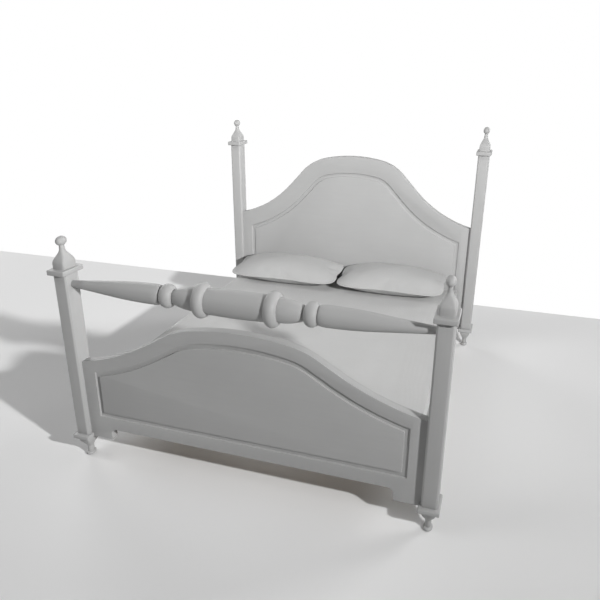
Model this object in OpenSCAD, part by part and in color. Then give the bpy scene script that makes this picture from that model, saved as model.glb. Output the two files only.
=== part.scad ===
// Miniature four poster bed, one twelfth scale: posts, boards, side rails, slats, blanket rail and bedding.
// X runs across the bed, +Y towards the headboard, Z up. The origin is on the floor under the bed's middle.

/* [Bed] */
// Spacing of the posts across the bed, centre to centre
post_spacing_x = 140; // [120:1:160]
// Spacing of the posts along the bed, centre to centre
post_spacing_y = 159.2; // [140:0.2:185]

/* [Posts] */
// Width of a post's shaft across the bed
post_w = 5.7; // [5:0.1:7]
// Depth of a post's shaft along the bed
post_d = 7.7; // [7:0.1:9]
// Height of a foot post's shaft top above the floor
footpost_top = 80; // [77:0.5:95]
// Height of a head post's shaft top above the floor
headpost_top = 109; // [100:0.5:125]
// Ease taken off the long edges of a shaft
post_ease = 0.6; // [0.2:0.05:0.9]

/* [Collars and caps] */
// Width of the collar under a shaft
collar_w = 7.5; // [6.6:0.1:9]
// Depth of the collar under a shaft
collar_d = 10.9; // [8.6:0.1:12]
// Thickness of the collar under a shaft
collar_t = 1.9; // [1.2:0.1:3]
// Width of the cap on a shaft
cap_w = 7.5; // [6.6:0.1:9]
// Depth of the cap on a shaft
cap_d = 11.6; // [8.6:0.1:13]
// Thickness of the cap on a shaft
cap_t = 2; // [1.2:0.1:3]
// Ease taken off the edges of collars, caps, rails, ledgers and slats
wood_ease = 0.3; // [0.1:0.05:0.5]

/* [Finials] */
// Width of a finial's square base
finial_w = 5.3; // [4.4:0.1:6.2]
// Depth of a finial's square base
finial_d = 7.4; // [6:0.1:8.6]
// Height of the straight part of the base
finial_base_h = 2; // [1:0.1:3]
// Height at which the ogee has become the neck
finial_neck_z = 7.2; // [6:0.1:8]
// Width of the neck
finial_neck_w = 1.9; // [1.5:0.1:2.4]
// Depth of the neck
finial_neck_d = 2.4; // [2:0.1:3.4]
// Width of the ball
ball_w = 3.2; // [2.6:0.1:4]
// Depth of the ball
ball_d = 5.2; // [4:0.1:6]
// Height of the ball
ball_h = 3.6; // [3:0.1:4.4]
// Height of the ball's middle above the cap
ball_z = 10.1; // [9.6:0.1:11]

/* [Feet] */
// Height of a foot, from the floor to the collar
foot_h = 9.6; // [8:0.1:12]
// Width of a foot's square top
foot_w = 5.2; // [4.4:0.1:6.2]
// Depth of a foot's square top
foot_d = 7.6; // [6:0.1:8.6]
// Height of the straight part under the collar
foot_top_h = 1; // [0.5:0.1:2]
// Height at which the ogee has become the neck
foot_neck_z = 3.6; // [3:0.1:4.5]
// Width of the neck
foot_neck_w = 2.2; // [1.8:0.1:3]
// Depth of the neck
foot_neck_d = 3.2; // [2.4:0.1:4]
// Width of the pad on the floor
pad_w = 3.4; // [2.8:0.1:4.4]
// Depth of the pad on the floor
pad_d = 4.9; // [3.8:0.1:6]
// Height of the pad on the floor
pad_h = 1.5; // [1:0.1:2]

/* [Footboard] */
// Thickness of the footboard
footboard_t = 3.6; // [3:0.1:4.4]
// How far the footboard's face lies behind the face of the posts
footboard_inset = 2.2; // [1.5:0.1:2.4]
// Height of the footboard's crest
footboard_top = 65.4; // [63:0.1:65.6]
// Radius of the footboard's crown
footboard_crown_r = 105; // [90:1:120]
// Slope at which the footboard's crown ends
footboard_crown_a = 10.7; // [9:0.1:12]
// Radius of the footboard's shoulder
footboard_shoulder_r = 30; // [24:0.5:34]
// Slope of the footboard's straight flank
footboard_slope_a = 31; // [28:0.5:33]
// Length of the footboard's straight flank
footboard_flank = 7.7; // [5:0.1:10]
// Radius of the footboard's cove
footboard_cove_r = 97; // [85:1:110]
// Distance of the footboard's groove from its top edge
footboard_border = 5; // [4:0.1:7]

/* [Headboard] */
// Thickness of the headboard
headboard_t = 3.6; // [3:0.1:4.4]
// How far the headboard's back lies inside the back of the posts
headboard_inset = 2.2; // [1.5:0.1:2.4]
// Height of the headboard's crest
headboard_top = 105.2; // [95:0.1:107]
// Radius of the headboard's crown
headboard_crown_r = 75; // [65:1:85]
// Slope at which the headboard's crown ends
headboard_crown_a = 12.5; // [11:0.1:14]
// Radius of the headboard's shoulder
headboard_shoulder_r = 24; // [18:0.5:28]
// Slope of the headboard's straight flank
headboard_slope_a = 47.5; // [44:0.5:50]
// Length of the headboard's straight flank
headboard_flank = 11.5; // [8:0.1:14]
// Radius of the headboard's cove
headboard_cove_r = 63; // [56:1:70]
// Distance of the headboard's groove from its top edge
headboard_border = 9.3; // [7:0.1:11]

/* [Both boards] */
// Height of the boards' lowest edge above the floor
board_bottom = 10; // [9.7:0.1:11]
// Width of the stile left at each side of the arch under a board
stile_w = 9.8; // [8:0.1:12]
// Height of the arch under a board
arch_top = 14.9; // [14:0.1:16.5]
// Radius of the arch's upper corners
arch_r = 2.2; // [1:0.1:2.8]
// Distance of the groove from the sides of a board
groove_side = 5.5; // [5:0.1:6.5]
// Height of the groove's lower edge
groove_bottom = 20.2; // [19:0.1:22]
// Width of the groove
groove_w = 2; // [1.6:0.1:2.4]
// Width of the groove's flat floor
groove_floor = 1.8; // [1:0.1:1.9]
// Depth of the groove
groove_depth = 0.65; // [0.4:0.05:1]

/* [Blanket rail] */
// Distance of the blanket rail's axis below the top of the foot posts' shafts
blanket_drop = 4.3; // [3.5:0.1:5.5]
// Radius of the middle barrel
barrel_r = 4.95; // [4.4:0.05:5.2]
// Drop of the barrel's radius at its ends
barrel_swell = 0.2; // [0.1:0.05:0.5]
// Half length of the middle barrel
barrel_half = 11; // [9:0.1:12]
// Width of the large ring
ring_w = 4.5; // [4:0.1:6]
// Radius of the large ring
ring_r = 6.4; // [5.8:0.1:6.6]
// Length of the vase between the rings
vase_l = 8.9; // [7:0.1:10]
// Radius of the vase beside the large ring
vase_r = 4.35; // [3.8:0.05:4.6]
// Radius of the neck beside the small ring
rail_neck_r = 2.5; // [2:0.1:3]
// Width of the small ring
collet_w = 4.9; // [4:0.1:5.6]
// Radius of the small ring
collet_r = 4.4; // [4:0.1:5]
// Radius of the long arm at its thickest
arm_r = 3.8; // [3.4:0.1:4.2]
// Length of the arm's rounded shoulder
arm_shoulder_l = 2.9; // [2:0.1:3.5]
// Length over which the arm starts to thin
arm_swell_l = 14.8; // [12:0.1:16]
// Radius at which the arm's straight taper starts
arm_taper_r = 3.2; // [2.8:0.05:3.3]
// Radius of the pins that turn in the posts
rail_pin_r = 1.3; // [1:0.05:1.5]
// Length of each pin inside its post
rail_pin_l = 2; // [1.6:0.1:2.4]

/* [Bed base] */
// Thickness of a side rail
side_rail_t = 3.6; // [3:0.1:4.2]
// Height of a side rail
side_rail_h = 12; // [9:0.5:13]
// Height of a side rail's lower edge above the floor
side_rail_bottom = 12; // [12:0.5:16]
// Width of a ledger strip
ledger_w = 2.8; // [2:0.1:3.4]
// Height of a ledger strip
ledger_h = 2.5; // [2:0.1:3]
// Number of slats
slat_count = 8; // [6:1:10]
// Width of a slat
slat_w = 10; // [8:0.5:11]
// Thickness of a slat
slat_t = 1.8; // [1.4:0.1:2.2]
// Distance of the end slats from the boards
slat_margin = 4; // [2:0.5:8]

/* [Bedding] */
// Thickness of the mattress
mattress_t = 10.9; // [8:0.1:14]
// Gap between the mattress and the inner face of a post
mattress_side_gap = 2; // [1:0.1:3]
// Gap between the mattress and a board
mattress_end_gap = 0.4; // [0.3:0.05:0.8]
// Radius of the mattress's edges
mattress_edge_r = 2.2; // [1.5:0.1:3.5]
// Width of the left pillow
pillow_left_w = 62.7; // [50:0.1:63]
// Width of the right pillow, which is plumped up shorter
pillow_right_w = 58.4; // [50:0.1:63]
// Depth of a pillow
pillow_d = 31; // [28:0.5:40]
// Height of a pillow's crown above its seam
pillow_crown = 7.8; // [6:0.1:11]
// Height of a pillow's seam above its belly
pillow_belly = 6; // [3:0.1:7]
// Angle at which a pillow leans back against the headboard
pillow_tilt = 6; // [0:0.5:10]
// Gap between the pillows
pillow_gap = 0.7; // [0.5:0.1:2]
// How far the gap between the pillows lies to the left of the bed's middle
pillow_shift = 0.95; // [0:0.05:1.2]
// Gap between the pillows and the headboard
pillow_head_gap = 0.5; // [0.3:0.1:10]

/* [Joints] */
// Radius of the dowels on finials and feet
dowel_r = 1; // [0.8:0.05:1.2]
// Depth of a dowel in its post
dowel_l = 2.4; // [2:0.1:3]
// Thickness of the tenons
tenon_t = 1.6; // [1.2:0.1:1.8]
// Length of the tenons
tenon_l = 1.9; // [1.5:0.1:2]
// Clearance round a glued dowel or tenon
glue_gap = 0.03; // [0.02:0.01:0.05]
// Running clearance round the blanket rail's pins
turning_gap = 0.05; // [0.03:0.01:0.1]
// Clearance past the end of a dowel, tenon or pin
end_gap = 0.2; // [0.1:0.05:0.3]
// Clearance under soft bedding
soft_gap = 0.15; // [0.1:0.05:0.3]

/* [Hidden] */
$fn = 48;
loft_sides = 24;           // corners of one lofted section
ogee_steps = 10;           // sections along an ogee
ball_steps = 6;            // sections along half a ball or half a pillow
arc_steps = 8;             // stretches along one arc of an outline
square_power = 8;          // power of the superellipse that reads as a square with soft corners
round_power = 2;           // power of an ellipse
cut = 0.5;                 // how far a cutter passes the face that it opens
dowel_root = 1;            // how far a dowel starts inside its own piece
tenon_shoulder = 5;        // shoulder above and below a tenon
pad_a = 50;                // angle above and below its widest line at which a foot's pad is cut flat
ball_low_a = 62;           // angle below its middle at which a ball meets the neck
ball_high_a = 82;          // angle above its middle at which a ball is cut flat
bead_power = 1.2;          // 1 gives a half round ring, more gives a narrower one with coved sides
vase_share = 0.85;         // share of a vase's length that lies before its step down to the neck
vase_thin = 0.65;          // share of a vase's thinning that is reached there
ring_step = 0.2;           // step down from the barrel to the root of a large ring
collet_step = 0.1;         // step up from the neck to the root of a small ring
pillow_power = 4.5;        // power of a pillow's outline
pillow_tip_a = 81;         // angle at which a pillow's crown is cut flat

paint = [0.66, 0.66, 0.65];
bare_wood = [0.72, 0.62, 0.48];
cotton = [0.82, 0.82, 0.81];

SIDES = [["left", -1], ["right", 1]];
ENDS = [["footpost", -1, footpost_top], ["headpost", 1, headpost_top]];
// One row for each post: name, side, end, height of its shaft
POSTS = [for (e = ENDS) for (s = SIDES) [str(e[0], "_", s[0]), s[1], e[1], e[2]]];
SLATS = [for (i = [1:slat_count]) str("slat_", i)];

board_half = (post_spacing_x - post_w) / 2;
blanket_z = footpost_top - blanket_drop;
post_bottom = foot_h + collar_t;
footboard_front = -(post_spacing_y + post_d) / 2 + footboard_inset;
footboard_back = footboard_front + footboard_t;
headboard_back = (post_spacing_y + post_d) / 2 - headboard_inset;
headboard_front = headboard_back - headboard_t;
groove_half = board_half - groove_side;
arch_half = board_half - stile_w;
tenon_bottom = board_bottom + tenon_shoulder + collar_t;
rail_mid_y = (footboard_back + headboard_front) / 2;
rail_span = headboard_front - footboard_back;
mattress_half = board_half - mattress_side_gap;
side_rail_inner = mattress_half - side_rail_t;
slat_top = side_rail_bottom + side_rail_h;
ledger_top = slat_top - slat_t;
slat_y0 = footboard_back + slat_margin + slat_w / 2;
slat_pitch = (rail_span - 2 * slat_margin - slat_w) / (slat_count - 1);
mattress_top = slat_top + mattress_t;
pillow_y = headboard_front - pillow_head_gap - pillow_d / 2 * cos(pillow_tilt);
// The lowest point of a leaning pillow is the front of the flat under its belly
pillow_flat = pillow_d / 2 * cos(pillow_tip_a);
pillow_seam_z = mattress_top + soft_gap + pillow_belly * cos(pillow_tilt) + pillow_flat * sin(pillow_tilt);

// A board's top edge: crest height, crown radius, crown angle, shoulder radius, flank slope, flank length
// and cove radius
footboard_edge = [footboard_top, footboard_crown_r, footboard_crown_a, footboard_shoulder_r,
    footboard_slope_a, footboard_flank, footboard_cove_r];
headboard_edge = [headboard_top, headboard_crown_r, headboard_crown_a, headboard_shoulder_r,
    headboard_slope_a, headboard_flank, headboard_cove_r];

// ---------- outlines ----------

function reversed(points) = [for (i = [1:len(points)]) points[len(points) - i]];
function mirrored(points) = [for (p = reversed(points)) [-p[0], p[1]]];

// Points on an arc about c, where an angle of 0 is the arc's top and grows clockwise
function arc(c, r, from, to) =
    [for (i = [0:arc_steps]) let (a = from + (to - from) * i / arc_steps) c + r * [sin(a), cos(a)]];

// Right half of a board's top edge, moved down square to itself by inset and ended at end_x. The shoulder
// starts one step past the end of the crown, where the crown's last point already lies.
function top_edge(edge, inset, end_x) =
    let (
        crown_c = [0, edge[0] - edge[1]],
        crown_a = edge[2],
        slope_a = edge[4],
        shoulder_c = crown_c + (edge[1] - edge[3]) * [sin(crown_a), cos(crown_a)],
        flank_start = shoulder_c + edge[3] * [sin(slope_a), cos(slope_a)],
        flank_end = flank_start + edge[5] * [cos(slope_a), -sin(slope_a)],
        cove_c = flank_end + edge[6] * [sin(slope_a), cos(slope_a)],
        cove_r = edge[6] + inset,
        end_a = asin((cove_c[0] - end_x) / cove_r)
    )
    concat(
        arc(crown_c, edge[1] - inset, 0, crown_a),
        arc(shoulder_c, edge[3] - inset, crown_a + slope_a / arc_steps, slope_a),
        arc(cove_c, -cove_r, slope_a, end_a)
    );

function whole_top_edge(edge, inset, end_x) =
    let (right = top_edge(edge, inset, end_x))
    concat(mirrored([for (i = [1:len(right) - 1]) right[i]]), right);

function board_outline(edge) =
    let (corner = [for (i = [0:arc_steps]) let (a = 90 * i / arc_steps)
        [arch_half - arch_r * (1 - cos(a)), arch_top - arch_r * (1 - sin(a))]])
    concat(
        whole_top_edge(edge, 0, board_half),
        [[board_half, board_bottom], [arch_half, board_bottom]],
        corner,
        mirrored(corner),
        [[-arch_half, board_bottom], [-board_half, board_bottom]]
    );

// Closed path of a board's groove, set in by inset from the groove's outer edge
function groove_path(edge, border, inset) =
    let (half = groove_half - inset, low = groove_bottom + inset)
    concat(whole_top_edge(edge, border + inset, half), [[half, low], [-half, low]]);

// Points of a superellipse with the given half sizes and power
function section(half_x, half_y, power) =
    [for (i = [0:loft_sides - 1]) let (a = 360 * i / loft_sides, c = cos(a), s = sin(a))
        [half_x * sign(c) * pow(abs(c), 2 / power), half_y * sign(s) * pow(abs(s), 2 / power)]];

// ---------- shared shapes ----------

// Solid through a stack of sections, each written as height, half width, half depth and power
module loft(rows) {
    n = loft_sides;
    points = [for (r = rows) each [for (p = section(r[1], r[2], r[3])) [p[0], p[1], r[0]]]];
    faces = concat(
        [[for (i = [0:n - 1]) i]],
        [for (k = [0:len(rows) - 2]) for (i = [0:n - 1])
            [k * n + i, (k + 1) * n + i, (k + 1) * n + (i + 1) % n, k * n + (i + 1) % n]],
        [[for (i = [n - 1:-1:0]) (len(rows) - 1) * n + i]]
    );
    polyhedron(points, faces, convexity = 4);
}

// Box on all three axes with every edge eased, its lowest corner at the origin
module eased_box(size) {
    e = wood_ease;
    intersection() {
        linear_extrude(size[2]) eased_rectangle(size[0], size[1], e);
        translate([0, size[1], 0]) rotate([90, 0, 0]) linear_extrude(size[1])
            eased_rectangle(size[0], size[2], e);
        rotate([90, 0, 90]) linear_extrude(size[0]) eased_rectangle(size[1], size[2], e);
    }
}

module eased_rectangle(w, h, e) {
    polygon([[e, 0], [w - e, 0], [w, e], [w, h - e], [w - e, h], [e, h], [0, h - e], [0, e]]);
}

// Eased box centred on X and Y
module eased_block(w, d, h) {
    translate([-w / 2, -d / 2, 0]) eased_box([w, d, h]);
}

module at_post(post) {
    translate([post[1] * post_spacing_x / 2, post[2] * post_spacing_y / 2, 0]) children();
}

// Ring that cuts the groove in a face at Y = 0, with the wood at positive Y. Its walls run on in front of the
// face at their own slope, so that the groove is groove_w wide in the face.
module groove_cutter(edge, border) {
    wall = (groove_w - groove_floor) / 2;
    proud = wall * cut / groove_depth;
    // Distance of each corner of the ring from the groove's outer edge, and its depth
    corners = [
        [-proud, -cut],
        [wall, groove_depth],
        [groove_w - wall, groove_depth],
        [groove_w + proud, -cut]
    ];
    paths = [for (c = corners) groove_path(edge, border, c[0])];
    n = len(paths[0]);
    points = [for (k = [0:3]) for (p = paths[k]) [p[0], corners[k][1], p[1]]];
    faces = [for (k = [0:3]) for (i = [0:n - 1])
        let (a = k * n, b = (k + 1) % 4 * n, j = (i + 1) % n)
        [a + i, b + i, b + j, a + j]];
    polyhedron(points, faces, convexity = 8);
}

// Tenon that points along +X from the origin, centred on Y and Z
module tenon(length, thickness, height) {
    translate([-cut, -thickness / 2, -height / 2]) cube([length + cut, thickness, height]);
}

// ---------- posts ----------

// Height of a board's top edge where it meets the post
function end_height(edge) = reversed(top_edge(edge, 0, board_half))[0][1];

// Tenon on the right end of the board at the given end of the bed
module board_tenon(end, gap, extra) {
    top = end_height(end < 0 ? footboard_edge : headboard_edge) - tenon_shoulder;
    mid_y = end < 0 ? footboard_front + footboard_t / 2 : headboard_back - headboard_t / 2;
    translate([board_half, mid_y, (tenon_bottom + top) / 2])
        tenon(tenon_l + extra, tenon_t + 2 * gap, top - tenon_bottom + 2 * gap);
}

module rail_socket() {
    translate([board_half - cut, -post_spacing_y / 2, blanket_z]) rotate([0, 90, 0])
        cylinder(r = rail_pin_r + turning_gap, h = rail_pin_l + end_gap + cut);
}

module mirrored_to(side) {
    mirror([side < 0 ? 1 : 0, 0, 0]) children();
}

module post(p) {
    top = p[3];
    hole_l = dowel_l + end_gap;
    color(paint) difference() {
        at_post(p) difference() {
            translate([-post_w / 2, -post_d / 2, post_bottom]) linear_extrude(top - post_bottom)
                eased_rectangle(post_w, post_d, post_ease);
            translate([0, 0, post_bottom - cut]) cylinder(r = dowel_r + glue_gap, h = hole_l + cut);
            translate([0, 0, top - hole_l]) cylinder(r = dowel_r + glue_gap, h = hole_l + cut);
        }
        mirrored_to(p[1]) board_tenon(p[2], glue_gap, end_gap);
        if (p[2] < 0) mirrored_to(p[1]) rail_socket();
    }
}

module collar(p) {
    color(paint) at_post(p) translate([0, 0, foot_h]) difference() {
        eased_block(collar_w, collar_d, collar_t);
        translate([0, 0, -cut]) cylinder(r = dowel_r + glue_gap, h = collar_t + 2 * cut);
    }
}

module cap(p) {
    color(paint) at_post(p) translate([0, 0, p[3]]) difference() {
        eased_block(cap_w, cap_d, cap_t);
        translate([0, 0, -cut]) cylinder(r = dowel_r + glue_gap, h = cap_t + 2 * cut);
    }
}

// Smooth step that falls from 1 to 0 as t goes from 0 to 1
function ogee(t) = (1 + cos(180 * t)) / 2;
function mix(a, b, t) = a * (1 - t) + b * t;

module foot(p) {
    ogee_top = foot_h - foot_top_h;
    pad_rows = [for (i = [0:ball_steps]) let (
        a = mix(-pad_a, pad_a, i / ball_steps),
        swell = cos(a),
        z = pad_h / 2 * (1 + sin(a) / sin(pad_a)))
        [z, pad_w / 2 * swell, pad_d / 2 * swell, round_power]];
    ogee_rows = [for (i = [ogee_steps:-1:0]) let (t = i / ogee_steps, s = ogee(t))
        [mix(ogee_top, foot_neck_z, t), mix(foot_neck_w, foot_w, s) / 2, mix(foot_neck_d, foot_d, s) / 2,
            mix(round_power, square_power, s)]];
    color(paint) at_post(p) {
        loft(concat(
            pad_rows,
            [[pad_h + glue_gap, foot_neck_w / 2, foot_neck_d / 2, round_power]],
            ogee_rows,
            [[foot_h, foot_w / 2, foot_d / 2, square_power]]
        ));
        translate([0, 0, foot_h - dowel_root]) cylinder(r = dowel_r, h = dowel_root + collar_t + dowel_l);
    }
}

module finial(p) {
    ogee_rows = [for (i = [0:ogee_steps]) let (t = i / ogee_steps, s = ogee(t))
        [mix(finial_base_h, finial_neck_z, t), mix(finial_neck_w, finial_w, s) / 2,
            mix(finial_neck_d, finial_d, s) / 2, mix(round_power, square_power, s)]];
    ball_rows = [for (i = [0:2 * ball_steps]) let (a = mix(-ball_low_a, ball_high_a, i / (2 * ball_steps)))
        [ball_z + ball_h / 2 * sin(a), ball_w / 2 * cos(a), ball_d / 2 * cos(a), round_power]];
    color(paint) at_post(p) translate([0, 0, p[3] + cap_t]) {
        loft(concat([[0, finial_w / 2, finial_d / 2, square_power]], ogee_rows, ball_rows));
        translate([0, 0, -cap_t - dowel_l]) cylinder(r = dowel_r, h = cap_t + dowel_l + dowel_root);
    }
}

// ---------- boards ----------

// Board with its front face at Y = 0 and its back at Y = thickness
module board(edge, border, thickness) {
    difference() {
        translate([0, thickness, 0]) rotate([90, 0, 0])
            linear_extrude(thickness) polygon(board_outline(edge));
        groove_cutter(edge, border);
    }
}

// Clearance for the collar at a board's lower corner
module collar_notch(end) {
    for (s = SIDES) {
        translate([
            s[1] * post_spacing_x / 2 - collar_w / 2 - glue_gap,
            end * post_spacing_y / 2 - collar_d / 2 - cut,
            board_bottom - cut
        ]) cube([collar_w + 2 * glue_gap, collar_d + 2 * cut, post_bottom - board_bottom + cut + glue_gap]);
    }
}

// Tenons at both ends of the side rail on the given side
module rail_tenons(side, gap, extra) {
    size = [
        tenon_t + 2 * gap,
        rail_span + 2 * (tenon_l + extra),
        side_rail_h - tenon_shoulder + 2 * gap
    ];
    at_side_rail(side) translate([0, 0, side_rail_h / 2]) cube(size, center = true);
}

module at_side_rail(side) {
    translate([side * (side_rail_inner + side_rail_t / 2), rail_mid_y, side_rail_bottom]) children();
}

module footboard() {
    color(paint) difference() {
        union() {
            translate([0, footboard_front, 0]) board(footboard_edge, footboard_border, footboard_t);
            for (s = SIDES) mirrored_to(s[1]) board_tenon(-1, 0, 0);
        }
        collar_notch(-1);
        for (s = SIDES) rail_tenons(s[1], glue_gap, end_gap);
    }
}

module headboard() {
    color(paint) difference() {
        union() {
            translate([0, headboard_front, 0]) board(headboard_edge, headboard_border, headboard_t);
            for (s = SIDES) mirrored_to(s[1]) board_tenon(1, 0, 0);
        }
        collar_notch(1);
        for (s = SIDES) rail_tenons(s[1], glue_gap, end_gap);
    }
}

// ---------- bed base ----------

module side_rail(side) {
    color(paint) {
        at_side_rail(side) eased_block(side_rail_t, rail_span, side_rail_h);
        rail_tenons(side, 0, 0);
    }
}

module ledger(side) {
    color(bare_wood) translate([side * (side_rail_inner - ledger_w / 2), rail_mid_y, ledger_top - ledger_h])
        eased_block(ledger_w, rail_span, ledger_h);
}

module slat(i) {
    color(bare_wood) translate([0, slat_y0 + (i - 1) * slat_pitch, ledger_top])
        eased_block(2 * (side_rail_inner - end_gap), slat_w, slat_t);
}

// ---------- blanket rail ----------

// Outline of a turned ring from x0, with length l, standing up from low to high
function bead(x0, l, low, high) =
    [for (i = [0:arc_steps]) let (a = 180 * i / arc_steps)
        [x0 + l / 2 * (1 - cos(a)), low + (high - low) * pow(sin(a), bead_power)]];

module blanket_rail() {
    ring_x = barrel_half;
    vase_x = ring_x + ring_w;
    collet_x = vase_x + vase_l;
    arm_x = collet_x + collet_w;
    swell_x = arm_x + arm_shoulder_l;
    taper_x = swell_x + arm_swell_l;
    barrel_end_r = barrel_r - barrel_swell;
    arm_neck_r = mix(rail_neck_r, arm_r, 0.5);
    barrel = [for (i = [0:arc_steps / 2]) let (t = 2 * i / arc_steps)
        [ring_x * t, barrel_r - barrel_swell * t * t]];
    vase = [for (i = [0:arc_steps]) let (t = i / arc_steps)
        [vase_x + vase_l * vase_share * t, vase_r - (vase_r - rail_neck_r) * vase_thin * t * t]];
    arm_shoulder = [for (i = [0:arc_steps / 2]) let (a = 180 * i / arc_steps)
        [arm_x + arm_shoulder_l * (1 - cos(a)), mix(arm_neck_r, arm_r, sin(a))]];
    arm_swell = [for (i = [1:arc_steps]) let (t = i / arc_steps)
        [swell_x + arm_swell_l * t, arm_r - (arm_r - arm_taper_r) * t * t]];
    half = concat(
        barrel,
        bead(ring_x, ring_w, barrel_end_r - ring_step, ring_r),
        vase,
        [[collet_x, rail_neck_r]],
        bead(collet_x, collet_w, rail_neck_r + collet_step, collet_r),
        arm_shoulder,
        arm_swell,
        [[board_half, rail_pin_r], [board_half + rail_pin_l, rail_pin_r]]
    );
    whole = concat(mirrored([for (i = [1:len(half) - 1]) half[i]]), half);
    color(paint) translate([0, -post_spacing_y / 2, blanket_z]) rotate([0, 90, 0]) rotate_extrude()
        polygon(concat(
            [[0, -board_half - rail_pin_l]],
            [for (p = whole) [p[1], p[0]]],
            [[0, board_half + rail_pin_l]]
        ));
}

// ---------- bedding ----------

module mattress() {
    r = mattress_edge_r;
    foot_y = footboard_back + mattress_end_gap;
    head_y = headboard_front - mattress_end_gap;
    color(cotton) hull()
        for (x = [-1, 1]) for (y = [foot_y + r, head_y - r]) for (z = [slat_top + r, mattress_top - r])
            translate([x * (mattress_half - r), y, z]) sphere(r = r, $fn = 24);
}

module pillow(side, width) {
    rows = [for (i = [-ball_steps:ball_steps]) let (
        a = pillow_tip_a * i / ball_steps,
        rise = i < 0 ? -pillow_belly : pillow_crown,
        z = rise * pow(sin(a) / sin(pillow_tip_a), 2))
        [z, width / 2 * cos(a), pillow_d / 2 * cos(a), pillow_power]];
    color(cotton) translate([side * (width + pillow_gap) / 2 - pillow_shift, pillow_y, pillow_seam_z])
        rotate([pillow_tilt, 0, 0]) loft(rows);
}

// ---------- the assembly ----------

for (p = POSTS) {
    post(p);
    collar(p);
    foot(p);
    cap(p);
    finial(p);
}
footboard();
headboard();
blanket_rail();
side_rail(-1);  // side_rail_left
side_rail(1);  // side_rail_right
ledger(-1);  // ledger_left
ledger(1);  // ledger_right
for (i = [1:slat_count]) {
    slat(i);
}
mattress();
pillow(-1, pillow_left_w);  // pillow_left
pillow(1, pillow_right_w);  // pillow_right
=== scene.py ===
"""Looks of a miniature four poster bed, built round its CAD frame.

The painted wood is dressed from the frame's own shapes, and the blanket rail is turned on a lathe profile.
The mattress and pillows go through a cloth simulation. Run it as a script; it is laid out as an add-on.
"""
import math

import bpy
from bpy.props import FloatProperty, FloatVectorProperty, IntProperty, PointerProperty
from mathutils import Matrix, Vector


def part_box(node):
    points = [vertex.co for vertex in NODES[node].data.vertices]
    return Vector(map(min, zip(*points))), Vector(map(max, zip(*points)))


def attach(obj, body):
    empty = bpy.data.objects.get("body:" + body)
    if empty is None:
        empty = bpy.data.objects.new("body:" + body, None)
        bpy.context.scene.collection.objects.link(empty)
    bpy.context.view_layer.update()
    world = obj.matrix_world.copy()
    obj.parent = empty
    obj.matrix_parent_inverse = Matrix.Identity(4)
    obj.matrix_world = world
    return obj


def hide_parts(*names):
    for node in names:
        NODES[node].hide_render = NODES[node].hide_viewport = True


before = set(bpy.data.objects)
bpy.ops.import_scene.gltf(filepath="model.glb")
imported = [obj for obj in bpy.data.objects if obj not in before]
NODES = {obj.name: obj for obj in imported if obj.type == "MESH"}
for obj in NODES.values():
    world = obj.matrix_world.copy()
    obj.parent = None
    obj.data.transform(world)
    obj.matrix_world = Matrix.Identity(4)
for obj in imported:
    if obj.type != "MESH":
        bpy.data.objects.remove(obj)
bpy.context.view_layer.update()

bl_info = {
    "name": "Miniature four poster bed",
    "version": (1, 0, 0),
    "blender": (4, 5, 0),
    "location": "3D View > Sidebar > Bed",
    "description": "Dresses the frame of a dolls house four poster bed and sets it on a studio floor",
    "category": "Object",
}

MM = 0.001
SIDES = ("left", "right")
POSTS = [f"{end}_{side}" for end in ("footpost", "headpost") for side in SIDES]
SLATS = sorted(name for name in NODES if name.startswith("slat_"))
POST_INNER_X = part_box("footpost_right")[0].x
RAIL_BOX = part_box("blanket_rail")

# Points closer than this are one point, and faces that lean apart less than this are one face
SAME_POINT = 0.002 * MM
SAME_PLANE = math.radians(0.4)


# ---------- settings ----------


def length(name, text, value):
    return FloatProperty(name=name, description=text, default=value, unit="LENGTH", precision=5)


def colour(name, text, value):
    return FloatVectorProperty(
        name=name, description=text, default=value, subtype="COLOR", size=3, min=0, max=1
    )


class PaintSettings(bpy.types.PropertyGroup):
    paint: colour("Paint", "Colour of the satin paint", (0.364, 0.364, 0.362))
    # The edge colour below is lighter than the paint: partly paint rubbed thin, partly a painted highlight
    # along the edges
    thin_paint_and_highlight: colour("Thin paint", "Colour where the paint is rubbed thin", (0.520, 0.518, 0.510))
    plate_ease: length("Plate edges", "Rounding of caps, collars and side rails", 0.12 * MM)
    post_ease: length("Post edges", "Rounding of the edges of the post shafts", 0.18 * MM)
    board_ease: length("Board edges", "Rounding of the edges of the head and foot boards", 0.4 * MM)
    groove_ease: length("Groove edges", "Rounding of the edges of the grooves in the boards", 0.06 * MM)


class WoodSettings(bpy.types.PropertyGroup):
    wood: colour("Wood", "Colour of the bare wood under the mattress", (0.62, 0.50, 0.36))
    grain: colour("Grain", "Colour of the darker grain lines", (0.47, 0.35, 0.23))


class RailSettings(bpy.types.PropertyGroup):
    sides: IntProperty(
        name="Sides", description="Facets round the blanket rail", default=64, min=16, max=128
    )
    barrel: length("Barrel", "Radius of the middle barrel", 4.95 * MM)
    barrel_half: length("Half barrel", "Half length of the middle barrel", 11 * MM)
    ring: length("Ring", "Radius of the two large rings", 6.4 * MM)
    ring_width: length("Ring width", "Width of the two large rings", 4.5 * MM)
    vase: length("Vase", "Radius of the vases beside the large rings", 4.35 * MM)
    vase_length: length("Vase length", "Length of the vases between the rings", 8.9 * MM)
    neck: length("Neck", "Radius of the necks beside the small rings", 2.5 * MM)
    collet: length("Small ring", "Radius of the two small rings", 4.4 * MM)
    collet_width: length("Small ring width", "Width of the two small rings", 4.9 * MM)
    ring_fullness: FloatProperty(
        name="Ring fullness", description="1 turns half round rings, more pinches them", default=1.2
    )
    arm: length("Arm", "Radius of the long arms at their thickest", 3.8 * MM)


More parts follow.
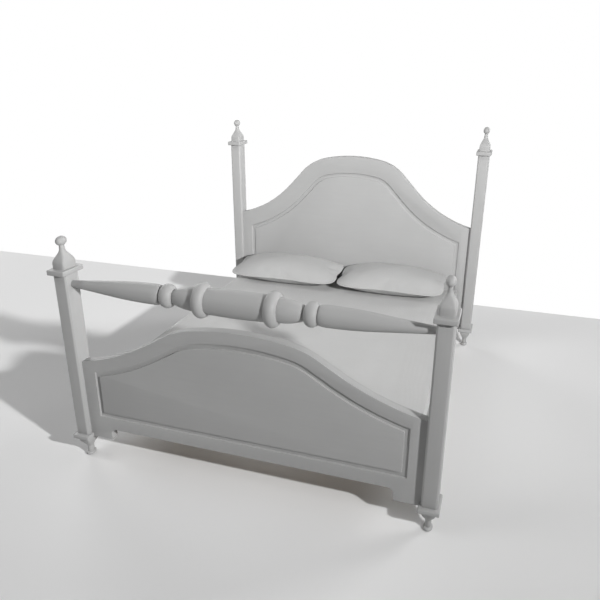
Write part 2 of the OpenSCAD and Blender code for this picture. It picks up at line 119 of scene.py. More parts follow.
class BeddingSettings(bpy.types.PropertyGroup):
    mattress: colour("Mattress", "Colour of the mattress cotton", (0.545, 0.545, 0.541))
    pillow: colour("Pillow", "Colour of the pillow cotton", (0.465, 0.465, 0.462))
    crown: length("Crown", "How far the mattress is domed between its edges", 0.5 * MM)
    welt: length("Welt", "How far the sewn welts stand out", 0.22 * MM)
    pillow_seam: length("Pillow seam", "How far a pillow's seam stands out", 0.3 * MM)
    pillow_depth: length("Pillow depth", "Depth of a pillow from its front seam to its back seam", 31 * MM)
    pillow_crown: length("Pillow crown", "Rise of a pillow above its seam", 7.8 * MM)
    pillow_belly: length("Pillow belly", "Drop of a pillow below its seam", 6.6 * MM)
    folds: FloatProperty(
        name="Folds", description="Share of the simulated folds that a pillow keeps", default=0.3
    )


class StageSettings(bpy.types.PropertyGroup):
    floor: colour("Floor", "Colour of the studio floor", (0.77, 0.77, 0.77))
    lamp_power: FloatProperty(
        name="Lamps", description="Power of all the lamps as a share of the usual", default=1
    )


class BedSettings(bpy.types.PropertyGroup):
    paint: PointerProperty(type=PaintSettings)
    wood: PointerProperty(type=WoodSettings)
    rail: PointerProperty(type=RailSettings)
    bedding: PointerProperty(type=BeddingSettings)
    stage: PointerProperty(type=StageSettings)


def settings():
    return bpy.context.scene.bed_settings


# ---------- handling of pieces ----------


def only(piece):
    """Leaves this one piece selected and active."""
    bpy.ops.object.select_all(action="DESELECT")
    piece.select_set(True)
    bpy.context.view_layer.objects.active = piece


def clear_selection(mode):
    """Deselects the whole active mesh and leaves it ready to pick vertices, edges or faces."""
    bpy.ops.object.mode_set(mode="EDIT")
    bpy.ops.mesh.select_mode(type=mode)
    bpy.ops.mesh.select_all(action="DESELECT")
    bpy.ops.object.mode_set(mode="OBJECT")


def pick(parts, test):
    """Selects the vertices, edges or faces that pass the test, on a piece in object mode."""
    found = 0
    for part in parts:
        part.select = bool(test(part))
        found += part.select
    if not found:
        raise RuntimeError("nothing on the piece passes the test")


def placed(piece, name):
    """Names a new primitive and puts its place into its mesh."""
    piece.name = name
    piece.data.name = name
    only(piece)
    bpy.ops.object.transform_apply(location=True, rotation=True, scale=True)
    return piece


def finished(piece, body, nodes, material):
    """Gives a piece its material and ties it to the frame."""
    piece.data.materials.clear()
    piece.data.materials.append(material)
    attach(piece, body)
    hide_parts(*nodes)
    return piece


def merged_copy(node, name):
    """Copy of a CAD node's mesh with its loose facets joined."""
    piece = bpy.data.objects.new(name, NODES[node].data.copy())
    piece.data.name = name
    bpy.context.scene.collection.objects.link(piece)
    only(piece)
    bpy.ops.object.mode_set(mode="EDIT")
    bpy.ops.mesh.select_all(action="SELECT")
    bpy.ops.mesh.remove_doubles(threshold=SAME_POINT)
    bpy.ops.mesh.dissolve_limited(angle_limit=SAME_PLANE)
    bpy.ops.mesh.normals_make_consistent(inside=False)
    bpy.ops.mesh.customdata_custom_splitnormals_clear()
    bpy.ops.object.mode_set(mode="OBJECT")
    return piece


def smooth_below(piece, degrees):
    """Shades a piece smooth, apart from edges that turn by more than this."""
    only(piece)
    bpy.ops.object.shade_smooth_by_angle(angle=math.radians(degrees))


def apply_bevel(piece, width, segments, weighted=False):
    """Rounds the sharp edges, or those that carry a weight."""
    sharp = 38
    only(piece)
    bevel = piece.modifiers.new("eased edges", "BEVEL")
    bevel.width = width
    bevel.segments = segments
    bevel.limit_method = "WEIGHT" if weighted else "ANGLE"
    bevel.angle_limit = math.radians(sharp)
    bevel.use_clamp_overlap = True
    bpy.ops.object.modifier_apply(modifier=bevel.name)
    smooth_below(piece, sharp)


def apply_subdivision(piece):
    only(piece)
    smooth = piece.modifiers.new("smooth cloth", "SUBSURF")
    smooth.levels = smooth.render_levels = 1
    bpy.ops.object.modifier_apply(modifier=smooth.name)
    bpy.ops.object.shade_smooth()


# ---------- materials ----------


class Shader:
    """A material's node tree with short calls to fill it."""

    def __init__(self, name):
        self.material = bpy.data.materials.new(name)
        self.material.use_nodes = True
        self.tree = self.material.node_tree
        self.tree.nodes.clear()
        self.surface = self.add("ShaderNodeBsdfPrincipled")
        self.out = self.add("ShaderNodeOutputMaterial")
        self.join(self.surface.outputs["BSDF"], self.out.inputs["Surface"])
        self.place = self.add("ShaderNodeTexCoord").outputs["Object"]

    def add(self, kind, **values):
        node = self.tree.nodes.new(kind)
        for key, value in values.items():
            setattr(node, key, value)
        return node

    def join(self, source, target):
        self.tree.links.new(source, target)

    def noise(self, stretch, detail, rough=0.55):
        """Noise whose features are 1 / stretch metres long on each axis."""
        mapping = self.add("ShaderNodeMapping")
        mapping.inputs["Scale"].default_value = stretch
        self.join(self.place, mapping.inputs["Vector"])
        noise = self.add("ShaderNodeTexNoise")
        noise.inputs["Scale"].default_value = 1.0
        noise.inputs["Detail"].default_value = detail
        noise.inputs["Roughness"].default_value = rough
        self.join(mapping.outputs["Vector"], noise.inputs["Vector"])
        return noise.outputs["Fac"]

    def ranged(self, value, low, high, to_low, to_high):
        """Turns low to high into to_low to to_high, and holds what lies beyond."""
        node = self.add("ShaderNodeMapRange")
        limits = {"From Min": low, "From Max": high, "To Min": to_low, "To Max": to_high}
        for key, number in limits.items():
            node.inputs[key].default_value = number
        self.join(value, node.inputs["Value"])
        return node.outputs["Result"]

    def sum(self, a, b, operation="ADD"):
        """Adds two values, or joins them by another operation of the Math node."""
        node = self.add("ShaderNodeMath", operation=operation)
        for value, socket in zip((a, b), node.inputs):
            if isinstance(value, (int, float)):
                socket.default_value = value
            else:
                self.join(value, socket)
        return node.outputs["Value"]

    def blend(self, share, a, b):
        """Colour a where share is 0 and b where it is 1."""
        node = self.add("ShaderNodeMix", data_type="RGBA")
        self.join(share, node.inputs["Factor"])
        # The Mix node's colour sockets are inputs 6 and 7 and output 2
        for value, key in ((a, 6), (b, 7)):
            if isinstance(value, bpy.types.NodeSocket):
                self.join(value, node.inputs[key])
            else:
                node.inputs[key].default_value = (*value, 1)
        return node.outputs[2]

    def bump(self, height, distance, strength, over=None):
        node = self.add("ShaderNodeBump")
        node.inputs["Strength"].default_value = strength
        node.inputs["Distance"].default_value = distance
        self.join(height, node.inputs["Height"])
        if over is not None:
            self.join(over, node.inputs["Normal"])
        return node.outputs["Normal"]

    def finish(self, base, roughness, normal):
        self.join(base, self.surface.inputs["Base Color"])
        self.join(roughness, self.surface.inputs["Roughness"])
        self.join(normal, self.surface.inputs["Normal"])
        return self.material


def along(axis, length_scale, cross_scale):
    """Stretch of a noise with one value along the grain and another across it."""
    return tuple(length_scale if i == axis else cross_scale for i in range(3))


def even(scale):
    return (scale, scale, scale)


def scaled(tone, factor):
    return tuple(min(1.0, c * factor) for c in tone)


def painted_wood(name, grain_axis):
    """Satin paint brushed over close grain, painted lighter on the edges: partly paint rubbed thin, partly
    a painted highlight.
    """
    values = settings().paint
    shader = Shader(name)
    tone = values.paint
    mottle = shader.noise(even(55), 4)
    streaks = shader.noise(along(grain_axis, 70, 1100), 3)
    base = shader.blend(shader.ranged(mottle, 0.3, 0.7, 0, 1), scaled(tone, 0.975), scaled(tone, 1.02))
    base = shader.blend(shader.ranged(streaks, 0.35, 0.8, 0, 0.5), base, scaled(tone, 0.955))
    # The rounded normal turns away from the true one only beside an edge
    edge_band_width = 0.35 * MM
    round_edge = shader.add("ShaderNodeBevel", samples=4)
    round_edge.inputs["Radius"].default_value = edge_band_width
    true_normal = shader.add("ShaderNodeNewGeometry").outputs["Normal"]
    facing = shader.add("ShaderNodeVectorMath", operation="DOT_PRODUCT")
    shader.join(round_edge.outputs["Normal"], facing.inputs[0])
    shader.join(true_normal, facing.inputs[1])
    edge = shader.ranged(facing.outputs["Value"], 0.995, 0.90, 0, 1)
    patches = shader.ranged(shader.noise(even(900), 2), 0.45, 0.7, 0, 0.8)
    worn_and_highlit = shader.sum(edge, patches, "MULTIPLY")
    # Edges and patches along them get the lighter colour: partly paint rubbed thin, partly a painted
    # highlight
    base = shader.blend(worn_and_highlit, base, values.thin_paint_and_highlight)
    roughness = shader.ranged(mottle, 0.3, 0.7, 0.46, 0.58)
    grain = shader.bump(shader.noise(along(grain_axis, 160, 2600), 4), 0.02 * MM, 0.5)
    brush = shader.bump(streaks, 0.03 * MM, 0.5, over=grain)
    shader.surface.inputs["Specular IOR Level"].default_value = 0.35
    return shader.finish(base, roughness, brush)


def bare_wood(name, grain_axis):
    """Sanded softwood with darker grain lines."""
    values = settings().wood
    shader = Shader(name)
    bands = shader.noise(along(grain_axis, 18, 420), 5, 0.6)
    fibres = shader.noise(along(grain_axis, 240, 5200), 3)
    base = shader.blend(shader.ranged(bands, 0.42, 0.66, 0, 1), values.wood, values.grain)
    base = shader.blend(shader.ranged(fibres, 0.4, 0.75, 0, 0.35), base, scaled(values.grain, 0.8))
    roughness = shader.ranged(fibres, 0.3, 0.7, 0.62, 0.8)
    height = shader.sum(bands, shader.sum(fibres, 0.6, "MULTIPLY"))
    return shader.finish(base, roughness, shader.bump(height, 0.06 * MM, 0.7))


def cotton(name, tone, weave_size):
    """Plain woven cotton: crossed threads, soft slubs and small creases."""
    shader = Shader(name)
    waves = []
    for axis in ("X", "Y", "Z"):
        wave = shader.add("ShaderNodeTexWave", wave_type="BANDS", bands_direction=axis, wave_profile="SIN")
        # The threads lie 2 pi / 20 of the weave's size apart
        wave.inputs["Scale"].default_value = 1 / weave_size
        wave.inputs["Distortion"].default_value = 0.6
        wave.inputs["Detail"].default_value = 1.0
        shader.join(shader.place, wave.inputs["Vector"])
        waves.append(wave.outputs["Fac"])
    weave = shader.sum(shader.sum(waves[0], waves[1]), waves[2])
    slubs = shader.noise((260, 1400, 900), 3)
    cloud = shader.noise(even(45), 4)
    base = shader.blend(shader.ranged(cloud, 0.3, 0.7, 0, 1), scaled(tone, 0.975), scaled(tone, 1.02))
    base = shader.blend(shader.ranged(slubs, 0.5, 0.8, 0, 0.4), base, scaled(tone, 0.94))
    base = shader.blend(shader.ranged(weave, 0.6, 2.4, 0.35, 0), base, scaled(tone, 0.9))
    roughness = shader.ranged(slubs, 0.3, 0.7, 0.86, 0.96)
    normal = shader.bump(shader.noise(even(120), 3), 0.10 * MM, 0.35)
    normal = shader.bump(weave, 0.035 * MM, 0.6, over=normal)
    shader.surface.inputs["Specular IOR Level"].default_value = 0.15
    shader.surface.inputs["Sheen Weight"].default_value = 0.08
    shader.surface.inputs["Sheen Roughness"].default_value = 0.5
    return shader.finish(base, roughness, normal)


def paint_for(axis):
    """The paint whose grain runs along this axis, made once."""
    name = f"painted_wood_{'xyz'[axis]}"
    return bpy.data.materials.get(name) or painted_wood(name, axis)


# ---------- posts ----------


def dress_carvings(part):
    """Dresses the carving of this kind on each post; its curves are in the frame already."""
    for post in POSTS:
        node = f"{post}_{part}"
        piece = merged_copy(node, f"{node}_carving")
        smooth_below(piece, 42)
        finished(piece, "bed_frame", [node], paint_for(2))


class BED_OT_posts(bpy.types.Operator):
    """Dress the four post shafts"""

    bl_idname = "bed.posts"
    bl_label = "Posts"

    def execute(self, context):
        for post in POSTS:
            shaft = merged_copy(post, f"{post}_shaft")
            apply_bevel(shaft, settings().paint.post_ease, 3)
            finished(shaft, "bed_frame", [post], paint_for(2))
        return {"FINISHED"}


class BED_OT_plates(bpy.types.Operator):
    """Dress the collar under each shaft and the cap on it"""

    bl_idname = "bed.plates"
    bl_label = "Collars and caps"

    def execute(self, context):
        ease = settings().paint.plate_ease
        for post in POSTS:
            for plate in ("collar", "cap"):
                node = f"{post}_{plate}"
                piece = merged_copy(node, f"{node}_plate")
                apply_bevel(piece, ease, 2)
                finished(piece, "bed_frame", [node], paint_for(1))
        return {"FINISHED"}


class BED_OT_finials(bpy.types.Operator):
    """Dress the carved finials"""

    bl_idname = "bed.finials"
    bl_label = "Finials"

    def execute(self, context):
        dress_carvings("finial")
        return {"FINISHED"}


class BED_OT_feet(bpy.types.Operator):
    """Dress the feet"""

    bl_idname = "bed.feet"
    bl_label = "Feet"

    def execute(self, context):
        dress_carvings("foot")
        return {"FINISHED"}


# ---------- boards and base ----------


def board_edge_weights(piece):
    """Marks how strongly each edge of a board is rounded: the rim most, the groove least."""
    values = settings().paint
    mesh = piece.data
    faces_of = {}
    for face in mesh.polygons:
        for key in face.edge_keys:
            faces_of.setdefault(key, []).append(face.normal)
    mark = mesh.attributes.new("bevel_weight_edge", "FLOAT", "EDGE")
    fine = values.groove_ease / values.board_ease
    nearly_flat = math.cos(math.radians(30))
    hidden_from = POST_INNER_X - 0.05 * MM
    for edge in mesh.edges:
        normals = faces_of.get(edge.key, [])
        if len(normals) != 2 or normals[0].dot(normals[1]) > nearly_flat:
            continue
        # A rim joins the board's front or back to a face that runs through its thickness
        side, front = sorted(abs(normal.y) for normal in normals)
        rim = side < 0.3 and front > 0.95
        at_post = all(abs(mesh.vertices[v].co.x) > hidden_from for v in edge.vertices)
        mark.data[edge.index].value = 1.0 if rim and not at_post else fine


class BED_OT_boards(bpy.types.Operator):
    """Dress the headboard and the footboard"""

    bl_idname = "bed.boards"
    bl_label = "Head and foot boards"

    def execute(self, context):
        for node in ("headboard", "footboard"):
            piece = merged_copy(node, f"{node}_panel")
            board_edge_weights(piece)
            apply_bevel(piece, settings().paint.board_ease, 3, weighted=True)
            finished(piece, "bed_frame", [node], paint_for(0))
        return {"FINISHED"}


class BED_OT_base(bpy.types.Operator):
    """Dress the side rails and give the ledgers and slats bare wood"""

    bl_idname = "bed.base"
    bl_label = "Side rails and slats"

    def execute(self, context):
        across = bare_wood("bare_wood_slats", 0)
        lengthwise = bare_wood("bare_wood_ledgers", 1)
        for side in SIDES:
            node = f"side_rail_{side}"
            piece = merged_copy(node, f"{node}_board")
            apply_bevel(piece, settings().paint.plate_ease, 2)
            finished(piece, "bed_frame", [node], paint_for(1))
            NODES[f"ledger_{side}"].material_slots[0].material = lengthwise
        for node in SLATS:
            NODES[node].material_slots[0].material = across
        return {"FINISHED"}


# ---------- blanket rail ----------


CURVE_STEPS = [i / 12 for i in range(13)]
BEAD_STEPS = 18


def bead(start, width, low, high):
    """Ring of the lathe profile: half round, or pinched where its fullness is over 1."""
    points = []
    for i in range(BEAD_STEPS + 1):
        turn = math.pi * i / BEAD_STEPS
        rise = abs(math.sin(turn)) ** settings().rail.ring_fullness
        points.append((start + width / 2 * (1 - math.cos(turn)), low + (high - low) * rise))
    return points


def tapered(start, span, from_radius, to_radius):
    """Curve of the profile that starts level and thins towards its far end."""
    return [(start + span * t, from_radius - (from_radius - to_radius) * t * t) for t in CURVE_STEPS]


def shouldered(start, span, from_radius, to_radius):
    """Quarter round of the profile that starts steep and ends level."""
    points = []
    for t in CURVE_STEPS:
        turn = t * math.pi / 2
        rise = (to_radius - from_radius) * math.sin(turn)
        points.append((start + span * (1 - math.cos(turn)), from_radius + rise))
    return points


def rail_profile():
    """Distance from the middle and radius, from the middle of the rail to the end of its pin."""
    rail = settings().rail
    barrel_end = rail.barrel - 0.2 * MM
    ring_foot = rail.barrel - 0.4 * MM
    collet_foot = rail.neck + 0.1 * MM
    # The vase stops short of the neck, which a straight cone reaches
    vase_share = 0.85
    vase_end = rail.vase - (rail.vase - rail.neck) * 0.65
    arm_foot = (rail.neck + rail.arm) / 2
    shoulder_length = 2.9 * MM
    arm_length = 14.8 * MM
    arm_end = 3.2 * MM
    pin = 1.3 * MM
    ring_at = rail.barrel_half
    vase_at = ring_at + rail.ring_width
    collet_at = vase_at + rail.vase_length
    shoulder_at = collet_at + rail.collet_width
    arm_at = shoulder_at + shoulder_length
    points = tapered(0, ring_at, rail.barrel, barrel_end)
    points += bead(ring_at, rail.ring_width, ring_foot, rail.ring)
    points += tapered(vase_at, rail.vase_length * vase_share, rail.vase, vase_end)
    points += [(collet_at, rail.neck)]
    points += bead(collet_at, rail.collet_width, collet_foot, rail.collet)
    points += shouldered(shoulder_at, shoulder_length, arm_foot, rail.arm)
    points += tapered(arm_at, arm_length, rail.arm, arm_end)[1:]
    points += [(POST_INNER_X, pin), (RAIL_BOX[1].x, pin), (RAIL_BOX[1].x, 0)]
    return points


def turned(name, profile, axis_y, axis_z, sides):
    """Solid turned round a line along X from a profile drawn one point after the other."""
    x, r = profile[0]
    bpy.ops.object.select_all(action="DESELECT")
    bpy.ops.mesh.primitive_plane_add(size=MM, location=(x, axis_y, axis_z + r))
    piece = placed(bpy.context.object, name)
    bpy.ops.object.mode_set(mode="EDIT")
    bpy.ops.mesh.select_all(action="SELECT")
    bpy.ops.mesh.merge(type="CENTER")
    for nx, nr in profile[1:]:
        bpy.ops.mesh.extrude_vertices_move(TRANSFORM_OT_translate={"value": (nx - x, 0, nr - r)})
        x, r = nx, nr
    bpy.ops.mesh.select_all(action="SELECT")
    bpy.ops.mesh.spin(steps=sides, angle=2 * math.pi, center=(0, axis_y, axis_z), axis=(1, 0, 0))
    bpy.ops.mesh.select_all(action="SELECT")
    bpy.ops.mesh.remove_doubles(threshold=SAME_POINT)
    bpy.ops.mesh.normals_make_consistent(inside=False)
    bpy.ops.object.mode_set(mode="OBJECT")
    return piece


class BED_OT_blanket_rail(bpy.types.Operator):
    """Turn the blanket rail between the foot posts"""

    bl_idname = "bed.blanket_rail"
    bl_label = "Blanket rail"

    def execute(self, context):
        low, high = RAIL_BOX
        half = rail_profile()
        whole = [(-x, r) for x, r in reversed(half[1:])] + half
        middle = (low + high) / 2
        rail = turned("blanket_rail_turning", whole, middle.y, middle.z, settings().rail.sides)
        smooth_below(rail, 40)
        finished(rail, "blanket_rail", ["blanket_rail"], paint_for(0))
        return {"FINISHED"}


# ---------- bedding ----------


def padded_box(name, centre, size, cells, layers):
    """Closed pad made from one sheet of cells, extruded upwards layer by layer."""
    bpy.ops.object.select_all(action="DESELECT")
    bottom = centre - Vector((0, 0, size[2] / 2))
    bpy.ops.mesh.primitive_grid_add(
        x_subdivisions=cells[0], y_subdivisions=cells[1], size=1, location=bottom
    )
    sheet = bpy.context.object
    sheet.scale = (size[0], size[1], 1)
    piece = placed(sheet, name)
    bpy.ops.object.mode_set(mode="EDIT")
    bpy.ops.mesh.select_mode(type="FACE")
    bpy.ops.mesh.select_all(action="SELECT")
    for _ in range(layers):
        bpy.ops.mesh.extrude_region_move(TRANSFORM_OT_translate={"value": (0, 0, size[2] / layers)})
    bpy.ops.mesh.select_all(action="SELECT")
    bpy.ops.mesh.normals_make_consistent(inside=False)
    bpy.ops.object.mode_set(mode="OBJECT")
    return piece


def stuffed(piece, pressure, cap):
    """Swells a pad with a cloth simulation in which no point moves further than cap."""
    # The simulation runs on a pad this many times as large
    grow = 10.0
    last_frame = 24
    stiffness = 15.0
    start = [v.co.copy() for v in piece.data.vertices]
    piece.data.transform(Matrix.Scale(grow, 4))
    only(piece)
    cloth = piece.modifiers.new("stuffing", "CLOTH")
    rules = cloth.settings
    rules.quality = 6
    rules.mass = 0.3
    rules.tension_stiffness = rules.compression_stiffness = stiffness
    rules.shear_stiffness = stiffness / 3
    rules.bending_stiffness = 0.5
    rules.use_pressure = True
    rules.uniform_pressure_force = pressure
    rules.effector_weights.gravity = 0
    cloth.collision_settings.use_collision = False
    cloth.point_cache.frame_start = 1
    cloth.point_cache.frame_end = last_frame
    scene = bpy.context.scene
    for step in range(1, last_frame + 1):
        scene.frame_set(step)
    bpy.ops.object.modifier_apply(modifier=cloth.name)
    scene.frame_set(1)
    piece.data.transform(Matrix.Scale(1 / grow, 4))
    for vertex, old in zip(piece.data.vertices, start):
        move = vertex.co - old
        if move.length > cap:
            vertex.co = old + move * (cap / move.length)


def raise_seam(piece, test, width, height):
    """Turns the edges that pass the test into a sewn welt that stands out from the cloth."""
    only(piece)
    clear_selection("EDGE")
    mesh = piece.data
    pick(mesh.edges, test)
    bpy.ops.object.mode_set(mode="EDIT")
    bpy.ops.mesh.bevel(offset=width, segments=1, affect="EDGES")
    bpy.ops.mesh.select_mode(type="FACE")
    bpy.ops.mesh.extrude_region_shrink_fatten(TRANSFORM_OT_shrink_fatten={"value": height})
    bpy.ops.object.mode_set(mode="OBJECT")


class BED_OT_mattress(bpy.types.Operator):
    """Stuff the mattress"""

    bl_idname = "bed.mattress"
    bl_label = "Mattress"

    def execute(self, context):
        bedding = settings().bedding
        low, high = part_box("mattress")
        centre = (low + high) / 2
        size = high - low
        slack = 1.6 * MM
        swell_at_most = 1.1 * MM
        welt_half_width = 0.28 * MM
        weave_size = 0.32 * MM
        start = size - Vector((slack, slack, slack))
        piece = padded_box("mattress_ticking", centre, start, (64, 76), 6)
        rim = {
            edge.index
            for edge in piece.data.edges
            if all(is_rim(piece.data.vertices[v].co - centre, start / 2) for v in edge.vertices)
        }
        stuffed(piece, 3.0, swell_at_most)
        settle_mattress(piece, centre, size / 2, bedding.crown)
        raise_seam(piece, lambda edge: edge.index in rim, welt_half_width, bedding.welt)
        apply_subdivision(piece)
        settle_mattress(piece, centre, size / 2, bedding.crown)
        cloth = cotton("mattress_cotton", bedding.mattress, weave_size)
        finished(piece, "mattress", ["mattress"], cloth)
        return {"FINISHED"}


def is_rim(at, half):
    """True on the top and bottom outlines of a pad."""
    near = 0.01 * MM
    side = abs(at.x) > half.x - near or abs(at.y) > half.y - near
    return side and abs(at.z) > half.z - near


def settle_mattress(piece, centre, half, crown):
    """Keeps the mattress in its own space: flat on the slats, its top lower by crown at the edges."""
    for vertex in piece.data.vertices:
        at = vertex.co - centre
        u, v = (min(1.0, abs(at[i]) / half[i]) for i in (0, 1))
        top = half.z - crown * max(u, v) ** 4
        at.z = max(-half.z, min(top, at.z))
        at.x = max(-half.x, min(half.x, at.x))
        at.y = max(-half.y, min(half.y, at.y))
        vertex.co = centre + at


class BED_OT_pillows(bpy.types.Operator):
    """Stuff the right pillow and lay a mirrored copy beside it"""

    bl_idname = "bed.pillows"
    bl_label = "Pillows"

    def execute(self, context):
        bedding = settings().bedding
        low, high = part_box("pillow_right")
        first = stuffed_pillow("pillow_right_case", low, high)
        weave_size = 0.3 * MM
        cloth = cotton("pillow_cotton", bedding.pillow, weave_size)
        second = bpy.data.objects.new("pillow_left_case", first.data.copy())
        second.data.name = second.name
        bpy.context.scene.collection.objects.link(second)
        # The left pillow is the right one mirrored and widened, so that its creases fall elsewhere
        middle = (low + high) / 2
        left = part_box("pillow_left")
        wider = (left[1].x - left[0].x) / (high.x - low.x)
        second.data.transform(Matrix.Translation(-middle))
        second.data.transform(Matrix.Scale(-wider, 4, (1, 0, 0)))
        second.data.transform(Matrix.Translation((left[0] + left[1]) / 2))
        only(second)
        bpy.ops.object.mode_set(mode="EDIT")
        bpy.ops.mesh.select_all(action="SELECT")
        bpy.ops.mesh.normals_make_consistent(inside=False)
        bpy.ops.object.mode_set(mode="OBJECT")
        for piece, node in ((first, "pillow_right"), (second, "pillow_left")):
            finished(piece, node, [node], cloth)
        return {"FINISHED"}


def rounded_outline(piece, centre, half, power):
    """Rounds the corners of a pad's outline; a lower power rounds them more."""
    for vertex in piece.data.vertices:
        at = vertex.co - centre
        u, v = abs(at.x) / half.x, abs(at.y) / half.y
        if u or v:
            shrink = max(u, v) / (u**power + v**power) ** (1 / power)
            at.x *= shrink
            at.y *= shrink
        vertex.co = centre + at


def stuffed_pillow(name, low, high):
    """A stuffed pillow with a seam all round, leaning back in the space between two corners."""
    bedding = settings().bedding
    lip = bedding.pillow_seam
    # Height of the seam's middle over the bottom of the pillow's space
    seam_rise = 6.22 * MM
    half_gap = 0.2 * MM
    sheet_gap = 0.5 * MM
    slack_x, slack_y = 2.0 * MM, 4.0 * MM
    swell_at_most = 14 * MM
    lean = Matrix.Rotation(math.radians(6), 3, "X")
    centre = Vector(((low.x + high.x) / 2, (low.y + high.y) / 2, low.z + seam_rise))
    half = Vector(((high.x - low.x) / 2 - lip, bedding.pillow_depth / 2 - lip, 0))
    start = Vector((half.x * 2 + slack_x, half.y * 2 + slack_y, sheet_gap))
    piece = padded_box(name, centre, start, (76, 42), 1)
    rounded_outline(piece, centre, start / 2, 6)
    flat = [v.co - centre for v in piece.data.vertices]
    stuffed(piece, 2.5, swell_at_most)
    swollen = [v.co - centre for v in piece.data.vertices]
    # The lower sheet's points come first, then the upper sheet's
    seam = len(flat) // 2
    wide, deep, thick = (max(abs(p[i]) for p in swollen) for i in range(3))
    folds = bedding.folds
    for index, vertex in enumerate(piece.data.vertices):
        before, after = flat[index], swollen[index]
        u, v = abs(before.x) / start.x * 2, abs(before.y) / start.y * 2
        # The filling heaps up in the middle, and the folds of the simulation lie on that heap
        heap = max(0.0, 1 - (u**5 + v**5) ** (2 / 5))
        rise = heap * (1 - folds) + abs(after.z) / thick * folds
        x = before.x / start.x * 2 * (1 - folds) + after.x / wide * folds
        y = before.y / start.y * 2 * (1 - folds) + after.y / deep * folds
        if index >= seam:
            z = bedding.pillow_crown * rise + half_gap
        else:
            z = -bedding.pillow_belly * rise - half_gap
        vertex.co = centre + lean @ Vector((x * half.x, y * half.y, z))
    only(piece)
    clear_selection("FACE")
    pick(piece.data.polygons, lambda face: min(face.vertices) < seam <= max(face.vertices))
    bpy.ops.object.mode_set(mode="EDIT")
    bpy.ops.mesh.extrude_region_shrink_fatten(TRANSFORM_OT_shrink_fatten={"value": lip})
    bpy.ops.object.mode_set(mode="OBJECT")
    apply_subdivision(piece)
    for vertex in piece.data.vertices:
        vertex.co.z = max(low.z, vertex.co.z)
        vertex.co.y = min(high.y, vertex.co.y)
    return piece


# ---------- stage ----------

BED_MIDDLE = (0.0, 0.0, 0.045)
OVER_HEAD_END = (0.0, 0.1, 0.06)
UNDER_BED = (0.0, 0.0, 0.0)
LAMPS = (
    # name, place, what it points at, width in metres, power in watts
    ("back left", (-0.8, 0.7, 0.5), BED_MIDDLE, 0.5, 3.15),
    ("back right", (0.8, 0.7, 0.5), BED_MIDDLE, 0.5, 4.85),
    ("front left", (-0.6, -0.4, 0.8), BED_MIDDLE, 0.5, 2.15),
    ("left wall", (-1.0, 0.0, 0.4), BED_MIDDLE, 0.5, 2.15),
    ("bounce", (0.0, -0.03, 0.2), OVER_HEAD_END, 0.15, 0.049),
    ("under the bed", (0.0, 0.0, 0.02), UNDER_BED, 0.12, 0.011),
)
KEY_LAMP = ("key", (0.232, -0.2, 0.1745), (-0.3, 0.3, 0.45), 0.015, 15)
# The floor's far edge lies just behind the bed
FLOOR_SIZE = (5, 3)
FLOOR_MIDDLE = (0, -1.3535, 0)
EYE = (0.081484, -0.253927, 0.151306)
EYE_TILT = math.radians(68.878)
EYE_TURN = math.radians(18.677)
LENS = 36.11
# Strength of the world's light on the bed; to the camera the world is plain white
WORLD_STRENGTH = 0.01
# The floor runs out into the white background between these distances from the bed's middle
FLOOR_FADE = (0.38, 0.8)


def fade_to_white(shader, near, far):
    """Shows the floor as white background further away; the light on the bed stays as it is."""
    distance = shader.add("ShaderNodeVectorMath", operation="LENGTH")
    shader.join(shader.place, distance.inputs[0])
    path = shader.add("ShaderNodeLightPath")
    seen = shader.sum(path.outputs["Is Camera Ray"], path.outputs["Is Glossy Ray"], "MAXIMUM")
    seen = shader.sum(seen, path.outputs["Is Transmission Ray"], "MAXIMUM")
    share = shader.sum(shader.ranged(distance.outputs["Value"], near, far, 0, 1), seen, "MULTIPLY")
    white = shader.add("ShaderNodeEmission")
    white.inputs["Color"].default_value = (1, 1, 1, 1)
    mix = shader.add("ShaderNodeMixShader")
    shader.join(share, mix.inputs[0])
    shader.join(shader.surface.outputs["BSDF"], mix.inputs[1])
    shader.join(white.outputs["Emission"], mix.inputs[2])
    shader.join(mix.outputs["Shader"], shader.out.inputs["Surface"])


def studio_floor(tone):
    """Pale floor with a faint mottle and a felt surface."""
    bpy.ops.object.select_all(action="DESELECT")
    bpy.ops.mesh.primitive_plane_add(size=1, location=FLOOR_MIDDLE)
    floor = bpy.context.object
    floor.scale = (*FLOOR_SIZE, 1)
    placed(floor, "studio_floor")
    shader = Shader("floor_card")
    cloud = shader.noise(even(9), 2)
    base = shader.blend(shader.ranged(cloud, 0.3, 0.7, 0, 1), scaled(tone, 0.995), scaled(tone, 1.005))
    shader.surface.inputs["Specular IOR Level"].default_value = 0.1
    roughness = shader.ranged(cloud, 0.3, 0.7, 0.9, 0.95)
    felt = shader.bump(shader.noise(even(700), 3), 0.02 * MM, 0.3)
    floor.data.materials.append(shader.finish(base, roughness, felt))
    fade_to_white(shader, *FLOOR_FADE)


def studio_camera():
    """The camera that looks at the bed from above its foot end."""
    camera = bpy.data.cameras.new("camera")
    camera.lens = LENS
    camera.clip_start = 0.01
    camera.clip_end = 20
    eye = bpy.data.objects.new("camera", camera)
    eye.location = EYE
    eye.rotation_euler = (EYE_TILT, 0, EYE_TURN)
    bpy.context.scene.collection.objects.link(eye)
    bpy.context.scene.camera = eye


class BED_OT_stage(bpy.types.Operator):
    """Set up the floor, the lamps and the camera"""

    bl_idname = "bed.stage"
    bl_label = "Studio"

    def execute(self, context):
        studio_floor(settings().stage.floor)
        for lamp in LAMPS:
            soft_lamp(*lamp)
        even_light(soft_lamp(*KEY_LAMP).data)
        world_light()
        studio_camera()
        bpy.context.scene.view_settings.view_transform = "Standard"
        return {"FINISHED"}


def soft_lamp(name, place, target, width, power):
    """Round soft box that points at the target."""
    data = bpy.data.lights.new(name, "AREA")
    data.shape = "DISK"
    data.size = width
    data.energy = power * settings().stage.lamp_power
    lamp = bpy.data.objects.new(name, data)
    lamp.location = place
    lamp.rotation_euler = (Vector(target) - lamp.location).to_track_quat("-Z", "Y").to_euler()
    bpy.context.scene.collection.objects.link(lamp)
    return lamp


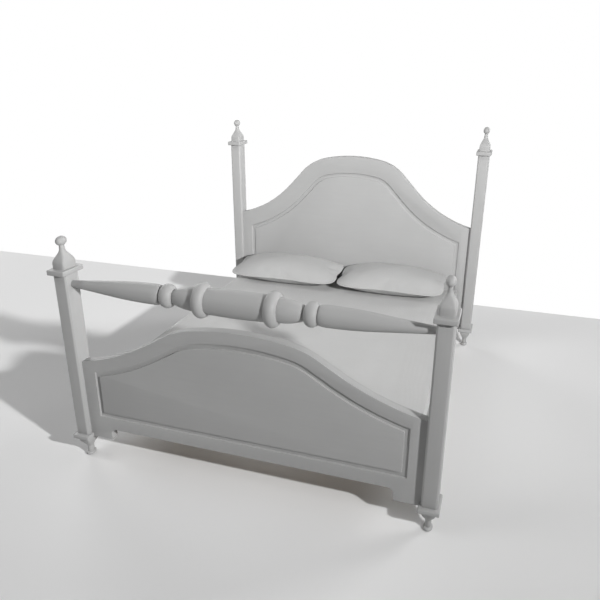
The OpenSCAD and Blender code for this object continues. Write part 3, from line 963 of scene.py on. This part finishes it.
def even_light(lamp_data):
    """Makes a lamp as bright far away as near, as a large distant one is."""
    lamp_data.use_nodes = True
    tree = lamp_data.node_tree
    falloff = tree.nodes.new("ShaderNodeLightFalloff")
    falloff.inputs["Strength"].default_value = 1
    tree.links.new(falloff.outputs["Constant"], tree.nodes["Emission"].inputs["Strength"])


def world_light():
    """White behind the floor's far edge, and a faint even light on the bed."""
    world = bpy.data.worlds.new("studio")
    world.use_nodes = True
    tree = world.node_tree
    tree.nodes.clear()
    kinds = ("Background", "Background", "MixShader", "Math", "Math", "LightPath", "OutputWorld")
    seen, unseen, mix, either, any_of, path, out = (tree.nodes.new(f"ShaderNode{kind}") for kind in kinds)
    seen.inputs["Color"].default_value = (1, 1, 1, 1)
    seen.inputs["Strength"].default_value = 1
    unseen.inputs["Color"].default_value = (1, 1, 1, 1)
    unseen.inputs["Strength"].default_value = WORLD_STRENGTH
    either.operation = any_of.operation = "MAXIMUM"
    tree.links.new(path.outputs["Is Camera Ray"], either.inputs[0])
    tree.links.new(path.outputs["Is Glossy Ray"], either.inputs[1])
    tree.links.new(either.outputs[0], any_of.inputs[0])
    tree.links.new(path.outputs["Is Transmission Ray"], any_of.inputs[1])
    tree.links.new(any_of.outputs[0], mix.inputs[0])
    tree.links.new(unseen.outputs[0], mix.inputs[1])
    tree.links.new(seen.outputs[0], mix.inputs[2])
    tree.links.new(mix.outputs[0], out.inputs["Surface"])
    bpy.context.scene.world = world


# ---------- the add-on ----------

STEPS = (
    BED_OT_posts,
    BED_OT_plates,
    BED_OT_finials,
    BED_OT_feet,
    BED_OT_boards,
    BED_OT_base,
    BED_OT_blanket_rail,
    BED_OT_mattress,
    BED_OT_pillows,
    BED_OT_stage,
)


class BED_PT_build(bpy.types.Panel):
    """Lists the steps that build the bed"""

    bl_idname = "BED_PT_build"
    bl_label = "Four poster bed"
    bl_space_type = "VIEW_3D"
    bl_region_type = "UI"
    bl_category = "Bed"

    def draw(self, context):
        for step in STEPS:
            self.layout.operator(step.bl_idname)


SETTINGS = (PaintSettings, WoodSettings, RailSettings, BeddingSettings, StageSettings, BedSettings)
CLASSES = (*SETTINGS, *STEPS, BED_PT_build)


def register():
    for item in CLASSES:
        bpy.utils.register_class(item)
    bpy.types.Scene.bed_settings = PointerProperty(type=BedSettings)


def unregister():
    del bpy.types.Scene.bed_settings
    for item in reversed(CLASSES):
        bpy.utils.unregister_class(item)


def main():
    register()
    for step in STEPS:
        group, name = step.bl_idname.split(".")
        getattr(getattr(bpy.ops, group), name)()
    bpy.context.view_layer.update()


if __name__ == "__main__":
    main()
